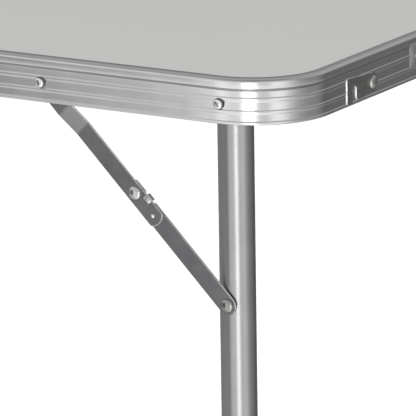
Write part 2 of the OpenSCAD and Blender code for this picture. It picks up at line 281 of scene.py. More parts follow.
# Screw heads: a near-white top as painted highlight and a dark side as painted shade.
M_CROWN_HIGHLIGHT = zinc_material("screw_crown_highlight", (0.94, 0.94, 0.93), 0.16, 0.24)
M_SKIRT_SHADE = zinc_material("screw_skirt_shade", (0.27, 0.27, 0.268), 0.3, 0.4)
# Near-black for the cross recess: painted shade.
M_RECESS_SHADE = plastic_material("screw_recess_shade", (0.03, 0.03, 0.03), 0.5, 0.6)
M_BLACK = plastic_material("black_nylon", (0.022, 0.022, 0.023), 0.42, 0.55)
M_RUBBER = plastic_material("black_rubber", (0.03, 0.03, 0.03), 0.65, 0.8)

# ---------- mesh helpers (all take millimetres) ----------


def arc(cx, cy, r, angles):
    """Points of a circle at angles in degrees."""
    return [(cx + r * math.cos(math.radians(a)), cy + r * math.sin(math.radians(a))) for a in angles]


def dome(r, h, seat=0):
    """Half section of a round rivet head, from its middle towards its edge."""
    turns = [math.radians(a) for a in range(8, 90, 8)]
    return [(0.01, seat + h)] + [(r * math.sin(a), seat + h * math.cos(a)) for a in turns]


def drawn_at(x, y, z, ax, ay, az):
    """Matrix that lays a drawing's own x, y and z along three directions at a point."""
    return Matrix.Translation((x * MM, y * MM, z * MM)) @ Matrix((ax, ay, az)).transposed().to_4x4()


def shade(mesh, angle):
    """Smooth shading with sharp edges above an angle in degrees."""
    mesh.polygons.foreach_set("use_smooth", [True] * len(mesh.polygons))
    mesh.set_sharp_from_angle(angle=math.radians(angle))


def finish_mesh(name, verts, faces, mat, uv=None, angle=32):
    mesh = bpy.data.meshes.new(name)
    mesh.from_pydata([(x * MM, y * MM, z * MM) for x, y, z in verts], [], faces)
    mesh.validate()
    if uv:
        layer = mesh.uv_layers.new(name="UVMap")
        for poly in mesh.polygons:
            for li in poly.loop_indices:
                layer.data[li].uv = uv[mesh.loops[li].vertex_index]
    shade(mesh, angle)
    mesh.materials.append(mat)
    obj = bpy.data.objects.new(name, mesh)
    scene.collection.objects.link(obj)
    return obj


def fix_normals(obj):
    bm = bmesh.new()
    bm.from_mesh(obj.data)
    bmesh.ops.recalc_face_normals(bm, faces=bm.faces)
    bm.to_mesh(obj.data)
    bm.free()
    return obj


def sheet_of_rings(rings, cap=True):
    """Faces between equal rings of vertices."""
    n = len(rings[0])
    verts = [v for r in rings for v in r]
    faces = []
    for i in range(len(rings) - 1):
        for j in range(n):
            k = (j + 1) % n
            faces.append((i * n + j, i * n + k, (i + 1) * n + k, (i + 1) * n + j))
    if cap:
        faces.append(tuple(reversed(range(n))))
        faces.append(tuple((len(rings) - 1) * n + j for j in range(n)))
    return verts, faces


def basis(axis):
    a = Vector(axis).normalized()
    h = Vector((0, 0, 1)) if abs(a.z) < 0.9 else Vector((1, 0, 0))
    u = h.cross(a).normalized()
    return u, a.cross(u), a


def lathe(name, profile, origin, axis, mat, segs=64, cap=True, radial=None):
    """Turns (radius, height) points about an axis. radial(angle, r, h) may change a radius."""
    u, v, a = basis(axis)
    o = Vector(origin)
    rings = []
    uv = []
    run = 0.0
    last = None
    for r, h in profile:
        if last:
            run += math.hypot(r - last[0], h - last[1])
        last = (r, h)
        ring = []
        for j in range(segs):
            t = 2 * math.pi * j / segs
            rr = radial(t, r, h) if radial else r
            p = o + (u * math.cos(t) + v * math.sin(t)) * rr + a * h
            ring.append(tuple(p))
            uv.append((abs(j / segs - 0.5), run * MM))
        rings.append(ring)
    verts, faces = sheet_of_rings(rings, cap=cap)
    return fix_normals(finish_mesh(name, verts, faces, mat, uv))


def rod(name, path, radius, mat, segs=24, cap=True, widths=None):
    """A round rod along a path of points."""
    pts = [Vector(p) for p in path]
    rings = []
    uv = []
    up = None
    run = 0.0
    for i, p in enumerate(pts):
        d = (pts[min(i + 1, len(pts) - 1)] - pts[max(i - 1, 0)]).normalized()
        if up is None:
            up = basis(d)[0]
        up = (up - d * up.dot(d)).normalized()
        w = d.cross(up)
        r = widths[i] if widths else radius
        if i:
            run += (p - pts[i - 1]).length
        rings.append([tuple(p + (up * math.cos(t) + w * math.sin(t)) * r)
                      for t in (2 * math.pi * j / segs for j in range(segs))])
        uv += [(abs(j / segs - 0.5), run * MM) for j in range(segs)]
    verts, faces = sheet_of_rings(rings, cap=cap)
    return fix_normals(finish_mesh(name, verts, faces, mat, uv))


def rounded(path, radius, steps=8):
    """Rounds the inner corners of a polyline."""
    out = [Vector(path[0])]
    for a, b, c in zip(path, path[1:], path[2:]):
        a, b, c = Vector(a), Vector(b), Vector(c)
        p = b + (a - b).normalized() * radius
        q = b + (c - b).normalized() * radius
        for i in range(steps + 1):
            t = i / steps
            out.append(p * (1 - t) ** 2 + b * 2 * t * (1 - t) + q * t * t)
    out.append(Vector(path[-1]))
    return [tuple(v) for v in out]


def join(name, objs):
    for o in bpy.context.selected_objects:
        o.select_set(False)
    for o in objs:
        o.select_set(True)
    bpy.context.view_layer.objects.active = objs[0]
    bpy.ops.object.join()
    objs[0].name = name
    objs[0].data.name = name
    return objs[0]


def copy_turned(obj, name, matrix):
    """A copy of the piece moved by a matrix, with its faces kept outward."""
    mesh = obj.data.copy()
    mesh.transform(matrix)
    if matrix.determinant() < 0:
        mesh.flip_normals()
    mesh.name = name
    new = bpy.data.objects.new(name, mesh)
    scene.collection.objects.link(new)
    return new


TURN = Matrix.Rotation(math.pi, 4, "Z")
FLIP = Matrix.Scale(-1, 4, (0, 1, 0))


def place(obj, body, node):
    """Puts a finished piece on its body, in place of its CAD node."""
    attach(obj, body)
    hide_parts(node)
    return obj


def sides(objs, name):
    """Front pieces and their mirror image at the rear, as one piece."""
    front = join(name, objs)
    back = copy_turned(front, name + "_rear", FLIP)
    return join(name, [front, back])


def both_leaves(obj, stem, body, node):
    """The piece on leaf A and its turned copy on leaf B."""
    other = copy_turned(obj, stem + "_b_piece", TURN)
    obj.name = stem + "_a_piece"
    place(obj, body + "_a", node + "_a")
    place(other, body + "_b", node + "_b")


def four(obj, stem, body, node):
    """Front piece of leaf A copied to all four corners."""
    rear = copy_turned(obj, stem + "_ar_piece", FLIP)
    bf = copy_turned(obj, stem + "_bf_piece", TURN @ FLIP)
    br = copy_turned(obj, stem + "_br_piece", TURN)
    obj.name = stem + "_af_piece"
    for o, k in ((obj, "af"), (rear, "ar"), (bf, "bf"), (br, "br")):
        place(o, body + "_" + k, node + "_" + k)


# ---------- rim ----------


def rim_profile():
    """(depth from the outer face, distance below the top), round the section."""
    h = RIM_H
    pts = [(LIP, 0.28), (LIP - 0.1, 0.08), (LIP - 0.3, 0.0)]
    pts += [(2.6, 0.24), (1.9, 0.34), (1.3, 0.54), (0.8, 0.84), (0.42, 1.22), (0.16, 1.66), (0.03, 2.1),
            (0.0, 2.45), (0.02, 3.1)]
    pts += [(0.12, 6.35), (0.16, 6.5), (0.3, 6.62), (0.85, 6.78), (0.95, 6.9), (0.95, 7.7), (0.88, 7.86),
            (0.62, 8.1), (0.56, 8.35), (0.53, 8.65)]
    for c, half in BEADS:
        pts += [(0.5, c - half - 0.55), (0.5, c - half - 0.3), (0.44, c - half - 0.12),
                (0.1, c - half + 0.22), (0.02, c - half + 0.42), (0.0, c - half + 0.7),
                (0.06, c + half - 0.7), (0.13, c + half - 0.4), (0.4, c + half + 0.05),
                (0.48, c + half + 0.2), (0.5, c + half + 0.4), (0.5, c + half + 0.65)]
    pts += [(0.5, h - 2.9), (0.5, h - 2.6)]
    for i in range(1, 7):
        a = math.pi * i / 12
        pts.append((0.5 - 0.5 * math.sin(a), h - 2.4 + 0.9 * (1 - math.cos(a))))
    pts += [(0.05, h - 0.9), (0.22, h - 0.4), (0.55, h - 0.08), (0.95, h), (1.5, h), (1.95, h - 0.2),
            (2.18, h - 0.6), (2.2, h - 1.7), (2.1, h - 2.0), (1.8, h - 2.3)]
    low = 1.2 + BOARD_T
    pts += [(1.8, low + 1.2), (LIP - 1.2, low + 1.2), (LIP - 1, low + 1.0), (LIP - 1, low)]
    pts += [(2, low), (2, 1.2), (LIP - 0.2, 1.2), (LIP, 1.0)]
    return pts


def rim_stations():
    """(point on the outer face, inward direction, mitre direction) round the U."""
    along = (GAP, 60, 140, 220, 300, 380, 460, 520)

    def straight(x, y, inward):
        return (x, y), (0, inward), (1, 0) if x == GAP else (0, 0)

    def corner(yc, first, n=20):
        out = []
        for i in range(n + 1):
            a = math.radians(first + 90 * i / n)
            c, s = math.cos(a), math.sin(a)
            out.append(((LEAF - CORNER + CORNER * c, yc + CORNER * s), (-c, -s), (0, 0)))
        return out

    out = [straight(x, -SIDE, 1) for x in along]
    out += corner(CORNER - SIDE, -90)
    out += [((LEAF, y), (-1, 0), (0, 0)) for y in (-200, -120, -40, 40, 120, 200)]
    out += corner(SIDE - CORNER, 0)
    return out + [straight(x, SIDE, -1) for x in reversed(along)]


def swept(name, profile, stations, mat):
    """The section carried along the stations."""
    rings = []
    uv = []
    run = 0.0
    last = None
    around = [0.0]
    for a, b in zip(profile, profile[1:]):
        around.append(around[-1] + math.dist(a, b))
    for (px, py), (nx, ny), (mx, my) in stations:
        if last:
            run += math.hypot(px - last[0], py - last[1])
        last = (px, py)
        rings.append([(px + nx * d + mx * d, py + ny * d + my * d, TOP - t) for d, t in profile])
        uv += [(run * MM, s * MM) for s in around]
    verts, faces = sheet_of_rings(rings)
    return fix_normals(finish_mesh(name, verts, faces, mat, uv, 30))


def rim():
    """The rim, with the groove's faces in a darker metal as painted shade."""
    prof = rim_profile()
    obj = swept("rim", prof, rim_stations(), M_RIM)
    obj.data.materials.append(M_GROOVE_SHADE)
    n = len(prof)
    for p in obj.data.polygons:
        if len(p.vertices) == 4:
            js = {v % n for v in p.vertices}
            if all(GROOVE[0] < prof[j][1] < GROOVE[1] and prof[j][0] > 0.25 for j in js):
                p.material_index = 1
    return obj


both_leaves(rim(), "rim", "leaf", "rim")


def rail_profile():
    h = RIM_H
    low = 1.2 + BOARD_T
    return [(LIP, 0.28), (LIP - 0.1, 0.08), (LIP - 0.3, 0), (0.7, 0), (0.25, 0.12), (0.05, 0.35), (0, 0.6),
            (0, h - 0.6), (0.1, h - 0.25), (0.35, h - 0.05), (0.6, h), (11.7, h), (12, h - 0.3),
            (12, h - 1.1), (11.8, h - 1.4), (1.8, h - 1.4), (1.8, low + 1.2), (LIP - 1.2, low + 1.2),
            (LIP - 1, low + 1.0), (LIP - 1, low), (2, low), (2, 1.2), (LIP - 0.2, 1.2), (LIP, 1.0)]


rail_stations = [((GAP, y), (1, 0), (0, mitre)) for y, mitre in
                 ((-SIDE, 1), (-SIDE + 30, 0), (0, 0), (SIDE - 30, 0), (SIDE, -1))]
both_leaves(swept("centre_rail", rail_profile(), rail_stations, M_RIM), "centre_rail", "leaf", "centre_rail")

# ---------- board ----------


def board():
    far = LEAF - 2
    near = GAP + 2
    s = SIDE - 2
    r = CORNER - 2
    outline = [(near, -s)]
    outline += arc(far - r, r - s, r, range(-90, 1, 5))
    outline += arc(far - r, s - r, r, range(0, 91, 5))
    outline += [(near, s)]
    rings = []
    for inset, t in ((0.25, BOARD_T + 1.2), (0, BOARD_T + 0.95), (0, 1.45), (0.25, 1.2)):
        rings.append([(x, y, TOP - t) for x, y in outline])
    verts, faces = sheet_of_rings(rings)
    obj = fix_normals(finish_mesh("board", verts, faces, M_BOARD, None, 40))
    obj.data.materials.append(M_UNDER)
    for p in obj.data.polygons:
        if p.normal.z < -0.5:
            p.material_index = 1
    return obj


both_leaves(board(), "board", "leaf", "board")


def cross_rib():
    """Folded hat rib with round corners and a row of rivets on its flanges."""
    x0 = LEAF / 2
    rib_lo, rib_hi = lo_hi("cross_rib_a")
    top, bot = rib_hi[2], rib_lo[2]
    prof = [(-10, top), (-10, top - 1.0), (-7.2, top - 1.0), (-6.5, top - 1.6), (-5.6, bot + 1.2),
            (-4.6, bot + 0.2), (-4, bot), (4, bot), (4.6, bot + 0.2), (5.6, bot + 1.2), (6.5, top - 1.6),
            (7.2, top - 1.0), (10, top - 1.0), (10, top)]
    steps = (rib_lo[1], -120, 0, 120, rib_hi[1])
    rings = [[(x0 + px, y, pz) for px, pz in prof] for y in steps]
    uv = [(y * MM, j * 0.002) for y in steps for j in range(len(prof))]
    verts, faces = sheet_of_rings(rings)
    parts = [fix_normals(finish_mesh("rib", verts, faces, M_RIM, uv))]
    for i in range(7):
        y = rib_lo[1] + 16 + i * (rib_hi[1] - rib_lo[1] - 32) / 6
        for s in (-1, 1):
            parts.append(lathe("rv", [(0.01, 1.0), (0.8, 0.9), (1.5, 0.45), (1.7, 0), (1.7, -0.3)],
                               (x0 + s * 8.5, y, top - 1.0), (0, 0, -1), M_BRIGHT, 20))
    return join("cross_rib", parts)


both_leaves(cross_rib(), "cross_rib", "leaf", "cross_rib")

# ---------- screws and rivets ----------


def cutter_cross(size, width, depth, top):
    """Tapered cross that sinks the Phillips recess."""
    objs = []
    for a in (0, 90):
        w, l = width / 2, size / 2
        square = ((-1, -1), (1, -1), (1, 1), (-1, 1))
        v = [(l * i, w * j, top) for i, j in square]
        v += [(l * 0.35 * i, w * 0.6 * j, top - depth) for i, j in square]
        f = [(3, 2, 1, 0), (4, 5, 6, 7), (0, 1, 5, 4), (1, 2, 6, 5), (2, 3, 7, 6), (3, 0, 4, 7)]
        o = finish_mesh("cut", v, f, M_RECESS_SHADE)
        o.data.transform(Matrix.Rotation(math.radians(a + 20), 4, "Z"))
        objs.append(fix_normals(o))
    return objs


def applied(obj):
    """The piece with its modifiers applied."""
    deps = bpy.context.evaluated_depsgraph_get()
    mesh = bpy.data.meshes.new_from_object(obj.evaluated_get(deps))
    obj.modifiers.clear()
    obj.data = mesh
    return obj


def phillips(name, r, h, shank_r, shank):
    """Pan-head screw drawn along +Z, with a real cross recess."""
    prof = [(0.01, h), (1.3, h - 0.02), (2.3, h - 0.12), (2.9, h - 0.32), (3.35, h - 0.66), (3.65, h - 1.1),
            (3.86, h - 1.6), (r, 0.3), (r, 0.12), (r - 0.12, 0), (shank_r, 0), (shank_r, -shank + 0.4),
            (shank_r - 0.4, -shank)]
    o = lathe(name, prof, ORIGIN, UP, M_BRIGHT, 72)
    o.data.materials.append(M_CROWN_HIGHLIGHT)
    o.data.materials.append(M_SKIRT_SHADE)
    # The top of the head gets the painted highlight and its side the painted shade.
    for p in o.data.polygons:
        z = p.center.z / MM
        if z > h - 0.5:
            p.material_index = 1
        elif z > -0.05:
            p.material_index = 2
    cuts = cutter_cross(4.6, 1.0, 2.0, h + 0.5)
    for c in cuts:
        m = o.modifiers.new("cut", "BOOLEAN")
        m.operation = "DIFFERENCE"
        m.solver = "EXACT"
        m.object = c
    applied(o)
    for c in cuts:
        bpy.data.objects.remove(c)
    shade(o.data, 28)
    return o


def on_side(x, z, spin=0.0):
    """+Z out of the front side, z = 0 on the outer face."""
    return (Matrix.Translation((x * MM, -SIDE * MM, z * MM)) @ Matrix.Rotation(math.radians(90), 4, "X")
            @ Matrix.Rotation(math.radians(spin), 4, "Z"))


def on_end(x, y, z):
    """+Z out of the end face at +X."""
    return Matrix.Translation((x * MM, y * MM, z * MM)) @ Matrix.Rotation(math.radians(90), 4, "Y")


def moved(obj, matrix):
    obj.data.transform(matrix)
    return obj


screw = moved(phillips("pivot_screw", 4, 2.3, 2.9, 20), on_side(PIVOT_X, PIVOT_Z, 8))
both_leaves(sides([screw], "pivot_screws"), "pivot_screws", "leaf", "pivot_screws")
screw = phillips("stay_screw", 4, 2.3, 2.4, 5.1)
washer = lathe("washer", [(2.4, -1.8), (4.9, -1.8), (5, -1.9), (5, -2.35), (4.9, -2.45), (2.4, -2.45)],
               ORIGIN, UP, M_BRIGHT, 48, cap=False)
rear_head = lathe("rear", [(2.4, -4.25), (4, -4.25), (4.2, -4.4), (4.1, -4.7), (3.3, -5.0), (2, -5.1),
                           (0.01, -5.1)], ORIGIN, UP, M_BRIGHT, 48, cap=False)
screw = moved(join("stay_screw", [screw, washer, rear_head]), on_side(ANCHOR_X, PIVOT_Z, -14))
both_leaves(sides([screw], "stay_screws"), "stay_screws", "leaf", "stay_screws")


def stay_rivet():
    """Rivet through the leg tube: round front head, spacer collar and flat rear head."""
    seat = -7.25
    prof = dome(RIVET_R, 1.8, seat) + [(RIVET_R, -7.1), (4.7, seat), (2.5, seat), (2.5, -2 * LEG_R - 10.4)]
    front = lathe("rf", prof, ORIGIN, UP, M_RIVET, 56)
    depth = SIDE - LEG_Y
    collar = lathe("rc", [(2.5, -9.05), (4.3, -9.05), (4.5, -9.2), (4.5, -depth + LEG_R - 1.0),
                          (2.5, -depth + LEG_R - 1.0)], ORIGIN, UP, M_RIVET, 48, cap=False)
    back = lathe("rb", [(4, -depth - LEG_R + 0.6), (4, -depth - LEG_R - 0.2), (3.4, -depth - LEG_R - 0.9),
                        (2, -depth - LEG_R - 1.25), (0.01, -depth - LEG_R - 1.35)], ORIGIN, UP, M_RIVET, 48)
    return moved(join("stay_rivet", [front, collar, back]), on_side(PIVOT_X, ANCHOR_Z))


both_leaves(sides([stay_rivet()], "stay_rivets"), "stay_rivets", "legs", "stay_rivets")

# ---------- folding stays ----------


def strip(name, stations, mat, edge=0.22):
    """A pressed strip. Each station is (s, low n, high n, middle depth)."""
    rings = []
    uv = []
    h = STRIP_T / 2
    for i, (s, n0, n1, d) in enumerate(stations):
        a = stations[max(i - 1, 0)]
        b = stations[min(i + 1, len(stations) - 1)]
        t = Vector((b[0] - a[0], b[3] - a[3])).normalized()
        e = min(edge, (n1 - n0) * 0.3)
        k = e * 0.35
        ring = [(n0, -h + e), (n0 + k, -h + k), (n0 + e, -h), (n1 - e, -h), (n1 - k, -h + k), (n1, -h + e),
                (n1, h - e), (n1 - k, h - k), (n1 - e, h), (n0 + e, h), (n0 + k, h - k), (n0, h - e)]
        rings.append([(s - t.y * w, n, -(d + t.x * w)) for n, w in ring])
        uv += [(s * MM, n * MM) for n, w in ring]
    verts, faces = sheet_of_rings(rings)
    # The strip's sheared sides get the painted edge highlight.
    return glint_sides(fix_normals(finish_mesh(name, verts, faces, mat, uv, 16)), M_GLINT)


def glint_sides(obj, mat, limit=0.55):
    """Gives the sheared sides of a flat pressing a near-white metal: painted highlight along the edges."""
    obj.data.materials.append(mat)
    for p in obj.data.polygons:
        if abs(p.normal.z) < limit:
            p.material_index = len(obj.data.materials) - 1
    return obj


def on_stay():
    """x runs along the stay from its screw and z points outward from the rim's side face."""
    start = Matrix.Translation((ANCHOR_X * MM, -SIDE * MM, PIVOT_Z * MM))
    return start @ Matrix.Rotation(math.radians(45), 4, "Y") @ Matrix.Rotation(math.radians(90), 4, "X")


def round_end(s_end, r, sign, n=12):
    """Stations of a half-round end; sign is +1 at the far end."""
    out = []
    for i in range(n + 1):
        a = math.radians(4 + 86 * i / n)
        out.append((s_end + sign * (r * math.cos(a) - r), r * math.sin(a)))
    return out if sign < 0 else list(reversed(out))


def slope_faces(obj, mat, s0, s1):
    """Side of the strip between two stations in another material; the joggle's slope gets a lighter zinc as
    painted sheen.
    """
    obj.data.materials.append(mat)
    k = len(obj.data.materials) - 1
    for p in obj.data.polygons:
        xs = [obj.data.vertices[v].co.x / MM for v in p.vertices]
        if min(xs) > s0 and max(xs) < s1 and p.material_index == 0:
            p.material_index = k


def glint_along(points, top):
    """Painted highlight: a fine bright line along the front edge; top is +1 for the upper edge and -1 for the
    lower.
    """
    return [(s, (b if top > 0 else a) - top * 0.12, -(d - 0.72)) for s, a, b, d in points]


def upper_link():
    """Joggled strap with knuckle rivet, dimple, and an ear bent back over the lower link."""
    lo, hi = UP_LOW, UP_HIGH
    half = STRIP_T / 2
    w = (UP_W - 0.02) / 2
    st = [(s, -k, k, lo + half) for s, k in round_end(-w, w, -1)]
    st += [(s, -w, w, d) for s, d in ((12, lo + half), (24.2, lo + half), (25, lo + 0.78), (25.8, lo + 0.9),
                                      (42.2, hi + 0.6), (43, hi + 0.72), (43.8, hi + half), (70, hi + half),
                                      (100, hi + half))]
    r = UP_W * 0.675
    top = LINK + 27.2 - r
    for i in range(9):
        k = w * (1 - i / 8) ** 0.8
        if i == 0:
            st.append((top + math.sqrt(r * r - w * w) - 0.6, -w, w, hi + half))
            k = w - 0.25
        st.append((top + math.sqrt(r * r - k * k), -max(k, 0.4), max(k, 0.4), hi + half))
    parts = [strip("upper", st, M_ZINC)]
    # The joggle's slope in lighter zinc: painted sheen.
    slope_faces(parts[0], M_SLOPE_SHEEN, 25.6, 42.4)
    # Thin bright rod along the edges: painted highlight.
    glint_line = glint_along(st[6:], 1) + glint_along(reversed(st[-9:]), -1)
    parts.append(rod("glint_line", glint_line, 0.2, M_GLINT, 8))
    head = dome(RIVET_R, 1.7) + [(RIVET_R, 0.0), (4.5, -0.2)]
    parts.append(lathe("dome", head, (LINK, 0, -hi), UP, M_BRIGHT, 56))
    # The dimple in the near-white metal: painted highlight.
    dim = [(0.01, 0.5), (0.6, 0.46), (1.1, 0.3), (1.4, 0.08), (1.5, -0.1)]
    parts.append(lathe("dimple", dim, (LINK + 20.4, -0.4, -hi), UP, M_GLINT, 32))
    # pressed shoulder where the ear leaves the face, in the near-white metal as painted highlight
    rings = [[(LINK + a, b, -d) for a, b in ((s0, n0), (s1, n0), (s1, w), (s0, w))] for s0, s1, n0,
             d in ((6.9, 12.5, 3.2, hi + 0.1), (6.9, 12.5, 3.2, hi), (7.5, 11.9, 4.1, hi - 0.3),
                   (8.0, 11.4, 4.7, hi - 0.35))]
    verts, faces = sheet_of_rings(rings)
    parts.append(fix_normals(finish_mesh("shoulder", verts, faces, M_GLINT, None, 25)))
    # ear, bent back over the lower link, in the near-white metal as painted highlight on the bend
    prof = [(5.2, hi + half), (6.2, hi + 0.78), (EAR - 0.7, hi + 0.95), (EAR - 0.3, hi + 1.4),
            (EAR - 0.15, hi + 2.0), (EAR - 0.15, 9.15)]
    s0, s1, e = 7, 12.5, 0.25
    section = ((s0, -1 + e), (s0 + e, -1), (s1 - e, -1), (s1, -1 + e), (s1, 1 - e), (s1 - e, 1), (s0 + e, 1),
               (s0, 1 - e))
    rings = []
    for i, (n, d) in enumerate(prof):
        a = Vector(prof[max(i - 1, 0)])
        b = Vector(prof[min(i + 1, len(prof) - 1)])
        t = (b - a).normalized()
        m = Vector((t.y, -t.x)) * 0.74
        rings.append([(LINK + s, n + m.x * k, -(d + m.y * k)) for s, k in section])
    verts, faces = sheet_of_rings(rings)
    parts.append(fix_normals(finish_mesh("ear", verts, faces, M_GLINT, None, 25)))
    return moved(join("upper_link", parts), on_stay())


def lower_link():
    """Strap with a square head and a notch for the ear. Stations: (s, cut below, cut above)."""
    d = LOW_DEPTH + STRIP_T / 2
    w = LOW_W / 2
    st = [(LINK + s, -w + below, w - above, d) for s, below,
          above in ((-6.4, 0.9, 0.9), (-6.1, 0.3, 0.3), (-5.6, 0, 0), (4, 0, 0), (4.6, 0, 0.25), (5, 0, 1.6),
                    (14.2, 0, 1.6), (14.6, 0, 0.25), (15.2, 0, 0), (60, 0, 0))]
    st += [(s, -k, k, d) for s, k in round_end(2 * LINK + w, w, 1)]
    parts = [strip("lower", st, M_ZINC)]
    # Thin bright rod along the upper edge: painted highlight.
    parts.append(rod("glint_line", glint_along(st[:-4], 1), 0.2, M_GLINT, 8))
    head = [(2.5, -8.85), (3.9, -8.9), (4.2, -9.0), (4.1, -9.25), (3.2, -9.42), (1.5, -9.5), (0.01, -9.5)]
    parts.append(lathe("khead", head, (LINK, 0, 0), UP, M_BRIGHT, 40, cap=False))
    return moved(join("lower_link", parts), on_stay())


four(upper_link(), "upper_link", "upper_link", "upper_link")
four(lower_link(), "lower_link", "lower_link", "lower_link")

# ---------- leg frame ----------


def tube_profile(r, wall, z0, z1, bevel=0.3):
    low = [(r - wall, z0 + bevel), (r - wall + bevel, z0), (r - bevel, z0), (r, z0 + bevel)]
    high = [(r, z1 - bevel), (r - bevel, z1), (r - wall + bevel, z1), (r - wall, z1 - bevel)]
    return low + [(r, z0 + (z1 - z0) * i / 6) for i in range(1, 6)] + high


def tube(name, r, wall, z0, z1, origin, axis, mat, segs=72):
    prof = tube_profile(r, wall, z0, z1)
    return lathe(name, prof + [prof[0]], origin, axis, mat, segs, cap=False)


leg = tube("leg_tube", LEG_R, TUBE_WALL, OUTER_END, PIVOT_Z, FRONT_LEG, UP, M_TUBE, 96)
both_leaves(sides([leg], "leg_tubes"), "leg_tubes", "legs", "leg_tubes")
half = tube_hi[1]
cross = tube("cross_tube", CROSS_R, CROSS_WALL, -half, half, (PIVOT_X, 0, PIVOT_Z), (0, 1, 0), M_TUBE)
both_leaves(cross, "cross_tube", "legs", "cross_tube")


def crossbar():
    reach = LEG_Y - LEG_R + 0.6
    bar = tube("bar", BAR_R, TUBE_WALL, -reach, reach, (PIVOT_X, 0, BAR_Z), (0, 1, 0), M_TUBE)
    # weld beads where the bar meets the legs
    parts = [bar]
    for s in (-1, 1):
        path = []
        for i in range(41):
            a = 2 * math.pi * i / 40
            x = BAR_R * math.cos(a)
            y = LEG_Y - math.sqrt(max(0.0, LEG_R ** 2 - x * x))
            path.append((PIVOT_X + x, s * (y - 0.1), BAR_Z + BAR_R * math.sin(a)))
        parts.append(rod("weld", path, 0.9, M_TUBE, 10, cap=False,
                         widths=[0.85 + 0.18 * math.sin(i * 2.3) for i in range(41)]))
    return join("crossbar", parts)


both_leaves(crossbar(), "crossbar", "legs", "crossbar")


def plugs():
    d = SIDE - tube_hi[1]
    out = SIDE - plug_hi[1]
    r = CROSS_R
    prof = [(2.96, -26), (8.9, -26), (9.5, -25.2), (9.5, -d), (r - 0.2, -d), (r, -d + 0.12), (r, -d + 0.35),
            (r - 0.3, -d + 0.5), (5, -d + 0.5), (5, -out - 0.2), (4.8, -out), (2.96, -out)]
    o = lathe("plug", prof + [prof[0]], ORIGIN, UP, M_BLACK, 48, cap=False)
    return moved(o, on_side(PIVOT_X, PIVOT_Z))


both_leaves(sides([plugs()], "tube_plugs"), "tube_plugs", "legs", "tube_plugs")

inner = tube("inner", INNER_R, INNER_WALL, inner_lo[2], inner_hi[2], FRONT_LEG, UP, M_TUBE)
bush = lathe("bush", [(r, inner_hi[2] - t) for r, t in ((INNER_R, 15), (LEG_R - 1.5, 15),
                                                        (LEG_R - 1.26, 14.5), (LEG_R - 1.26, 0.5),
                                                        (LEG_R - 1.6, 0), (INNER_R, 0))], FRONT_LEG, UP,
                                                        M_BLACK, 48, cap=False)


def foot():
    r = LEG_R - 0.3
    h = foot_hi[2]

    def ribs(t, rr, z):
        return rr - (0.35 if 3 < z < h - 2.5 and math.cos(20 * t) < 0 else 0)

    prof = [(0.01, 0.8), (6.5, 0.8), (7, 0), (r - 1.4, 0), (r - 0.5, 0.35), (r, 1.2), (r, 3), (r, 3.4),
            (r, h - 2.9), (r, h - 2.4), (r, h - 0.9), (r - 0.3, h - 0.25), (r - 1, h), (10, h), (10, 5),
            (0.01, 5)]
    return lathe("foot", prof, FRONT_LEG, UP, M_RUBBER, 120, cap=False, radial=ribs)


foot_obj = foot()
four(join("inner_tube", [inner, bush]), "inner_tube", "inner", "inner_tube")
four(foot_obj, "foot", "inner", "foot")


def collar():
    z1 = OUTER_END - 0.3
    z0 = OUTER_END - 30

    def grips(t, rr, z):
        if rr > LEG_R - 0.6 and z0 + 3.2 < z < z1 - 7.5:
            return rr - 0.55 * (0.5 + 0.5 * math.cos(18 * t)) ** 0.6
        return rr

    r = LEG_R
    prof = [(10.08, z0 + 0.4), (10.5, z0), (r - 1.2, z0), (r - 0.35, z0 + 0.35), (r, z0 + 1.1), (r, z0 + 3),
            (r, z0 + 3.5), (r, z0 + 9), (r, z0 + 15), (r, z1 - 8), (r, z1 - 7), (r, z1 - 4),
            (r - 0.5, z1 - 3.7), (r - 0.5, z1 - 3.1), (r, z1 - 2.8), (r, z1 - 0.6), (r - 0.5, z1),
            (r - 1.26, z1), (r - 1.26, OUTER_END + 10.6), (r - 1.6, OUTER_END + 11), (10.08, OUTER_END + 11)]
    return lathe("collar", prof + [prof[0]], FRONT_LEG, UP, M_BLACK, 144, cap=False, radial=grips)


four(collar(), "collar", "collar", "collar")

# ---------- latch ----------


def plate(name, outline, thick, mat, bevel=0.22, matrix=None, glint_mat=None):
    """A flat pressed plate from an outline in its own x, y, drawn from z = 0 up."""
    bm = bmesh.new()
    vs = [bm.verts.new((x * MM, y * MM, 0)) for x, y in outline]
    f = bm.faces.new(vs)
    r = bmesh.ops.extrude_face_region(bm, geom=[f])
    for v in r["geom"]:
        if isinstance(v, bmesh.types.BMVert):
            v.co.z += thick * MM
    bmesh.ops.recalc_face_normals(bm, faces=bm.faces)
    edges = [e for e in bm.edges if abs(e.verts[0].co.z - e.verts[1].co.z) < 1e-7]
    bmesh.ops.bevel(bm, geom=edges, offset=bevel * MM, segments=2, affect="EDGES", profile=0.6)
    mesh = bpy.data.meshes.new(name)
    bm.to_mesh(mesh)
    bm.free()
    shade(mesh, 20)
    mesh.materials.append(mat)
    o = bpy.data.objects.new(name, mesh)
    scene.collection.objects.link(o)
    if glint_mat:
        # The plate's sides get the painted edge highlight.
        glint_sides(o, glint_mat, 0.8)
    if matrix:
        mesh.transform(matrix)
    return o


HOOK_X = hook_lo[0]
HOOK_LEN = -hook_lo[1] - HOOK_Y - 1.5  # the tip stops a little short of the CAD box
HOOK_GAP = HOOK_X - LEAF
REAR_HEAD = [(2.5, -1.8), (3.9, -1.8), (4, -1.95), (3.9, -2.6), (3, -3),
             (0.01, -3)]  # of the hook's rivet and the stud


